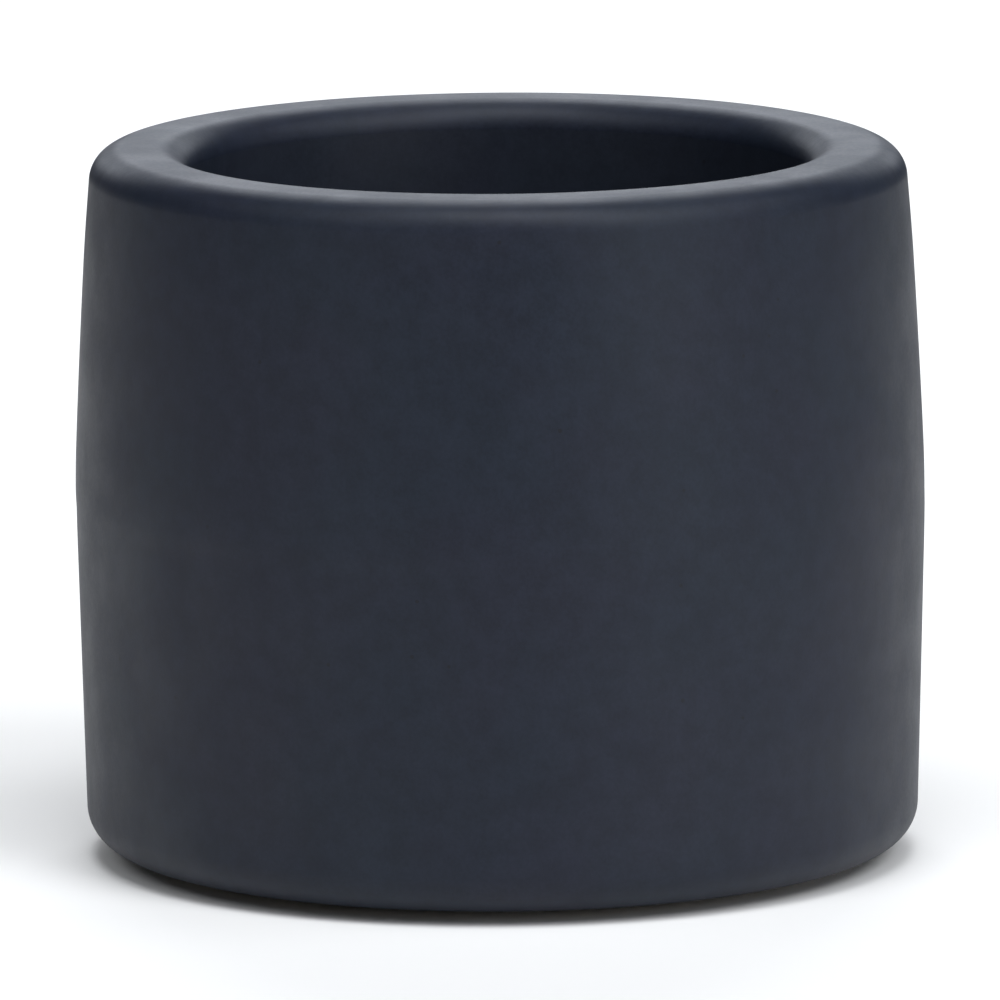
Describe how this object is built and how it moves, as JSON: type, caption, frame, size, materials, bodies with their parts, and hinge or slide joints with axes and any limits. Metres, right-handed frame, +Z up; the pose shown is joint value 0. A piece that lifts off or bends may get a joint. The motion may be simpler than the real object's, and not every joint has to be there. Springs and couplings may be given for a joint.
{
  "type": "empty candle jar",
  "caption": "Short round thick-walled open jar with a broad softly rounded rim, matte slate glaze, a soft ridge at mid-height and a straight round cavity for a candle.",
  "frame": {"origin": "on the jar's axis at the undersides of the rubber pads, the plane that it stands on", "axes": "+Z up along the jar's axis and out of its mouth; X and Y run between the pads, which lie at 45 degrees to them"},
  "size_m": [0.09, 0.09, 0.0757],
  "materials": {
    "clay": "matte",
    "outer_glaze": "matte",
    "inner_glaze": "satin",
    "pad_rubber": "matte",
    "adhesive_film": "satin"
  },
  "bodies": {
    "root": {"stoneware_body": "clay", "matte_outer_glaze": "outer_glaze", "inner_glaze": "inner_glaze", "foot_pad_1": "pad_rubber", "foot_pad_2": "pad_rubber", "foot_pad_3": "pad_rubber", "foot_pad_4": "pad_rubber", "pad_adhesive_1": "adhesive_film", "pad_adhesive_2": "adhesive_film", "pad_adhesive_3": "adhesive_film", "pad_adhesive_4": "adhesive_film"}
  },
  "joints": []
}
